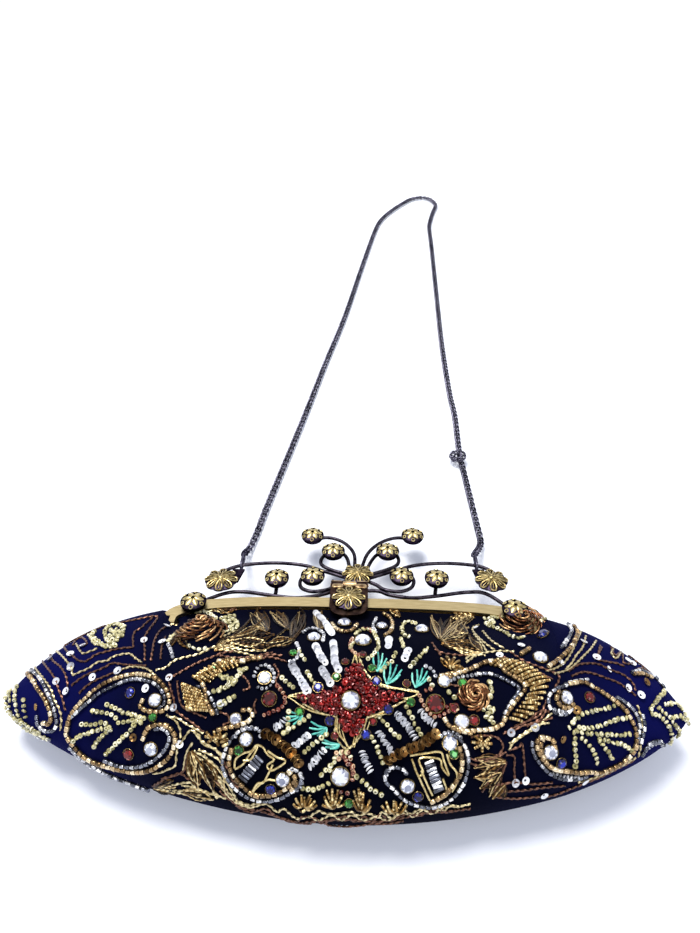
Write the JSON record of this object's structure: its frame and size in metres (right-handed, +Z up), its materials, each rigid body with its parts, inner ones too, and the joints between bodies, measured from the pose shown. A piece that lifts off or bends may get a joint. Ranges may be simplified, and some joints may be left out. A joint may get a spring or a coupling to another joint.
{
  "type": "beaded evening bag",
  "caption": "Boat-shaped beaded evening bag on a hinged metal frame with a flip-over flower clasp, a bent-wire butterfly with flower caps and a curb chain strap.",
  "frame": {"origin": "middle of the bag's box on the table, measured without the chain and its end rings; the bag lies on its back", "axes": "+X along the frame, +Y from the bag's bottom edge towards the wire butterfly, +Z up from the table"},
  "size_m": [0.2856, 0.569, 0.0502],
  "materials": {
    "beaded navy velvet": "velvet with couched beadwork",
    "navy satin": "woven satin",
    "navy lining satin": "woven satin",
    "white wadding": "bonded polyester wadding",
    "paper cord": "twisted paper",
    "brushed pale brass": "brushed, pale",
    "antique brass wire": "dark antique",
    "antique brass cap": "stamped, antique",
    "dark brass cup": "dark antique",
    "antique brass chain": "dark antique",
    "red seed beads": "glass beads on a felt pad",
    "cream seed beads": "glass beads on a felt pad",
    "gold purl": "coiled purl wire on a felt pad",
    "clear stones": "faceted",
    "red stones": "faceted"
  },
  "bodies": {
    "bag": {"back_lining": "navy lining satin", "back_panel": "navy satin", "back_wadding": "white wadding", "bottom_clear_stone": "clear stones", "centre_boss": "dark brass cup", "centre_flower": "antique brass cap", "centre_star": "red seed beads", "centre_stone": "clear stones", "chain_strap": "antique brass chain", "clasp_base": "brushed pale brass", "clasp_pin": "brushed pale brass", "front_lining": "navy lining satin", "front_panel": "beaded navy velvet", "front_wadding": "white wadding", "left_antenna": "antique brass wire", "left_antenna_flower": "antique brass cap", "left_chain_tab": "dark brass cup", "left_end_flower": "antique brass cap", "left_end_ring": "antique brass chain", "left_hinge_rivet": "brushed pale brass", "left_leaf": "cream seed beads", "left_lower_curl": "antique brass wire", "left_lower_curl_flower": "antique brass cap", "left_lower_wing": "antique brass wire", "left_paisley": "gold purl", "left_purl_rose": "gold purl", "left_red_stone": "red stones", "left_stem_flower": "antique brass cap", "left_upper_curl": "antique brass wire", "left_upper_curl_flower": "antique brass cap", "left_upper_wing": "antique brass wire", "rear_frame_bar": "brushed pale brass", "rear_frame_cord": "paper cord", "right_antenna": "antique brass wire", "right_antenna_flower": "antique brass cap", "right_chain_tab": "dark brass cup", "right_end_flower": "antique brass cap", "right_end_ring": "antique brass chain", "right_hinge_rivet": "brushed pale brass", "right_leaf": "cream seed beads", "right_lower_curl": "antique brass wire", "right_lower_curl_flower": "antique brass cap", "right_lower_wing": "antique brass wire", "right_paisley": "gold purl", "right_purl_rose": "gold purl", "right_red_stone": "red stones", "right_stem_flower": "antique brass cap", "right_upper_curl": "antique brass wire", "right_upper_curl_flower": "antique brass cap", "right_upper_wing": "antique brass wire", "side_purl_rose": "gold purl", "top_clear_stone": "clear stones"},
    "front_half": {"front_frame_bar": "brushed pale brass", "front_frame_cord": "paper cord", "catch_stud": "brushed pale brass", "left_shoulder_flower": "antique brass cap", "right_shoulder_flower": "antique brass cap"},
    "clasp": {"clasp_flap": "brushed pale brass", "clasp_flower": "antique brass cap"}
  },
  "joints": [
    {"name": "frame_opening", "type": "hinge", "parent": "bag", "child": "front_half", "pos_m": [0, 0.00112, 0.02695], "axis": [1, 0, 0], "range_deg": [0, 60], "deforming": ["front_panel", "front_lining"]},
    {"name": "clasp_flap", "type": "hinge", "parent": "bag", "child": "clasp", "pos_m": [-0.0022, 0.0278, 0.02442], "axis": [-1, 0, 0], "range_deg": [0, 120]}
  ],
  "couplings": [
    {"joint": "clasp_flap", "follows": "frame_opening", "ratio": 2}
  ]
}
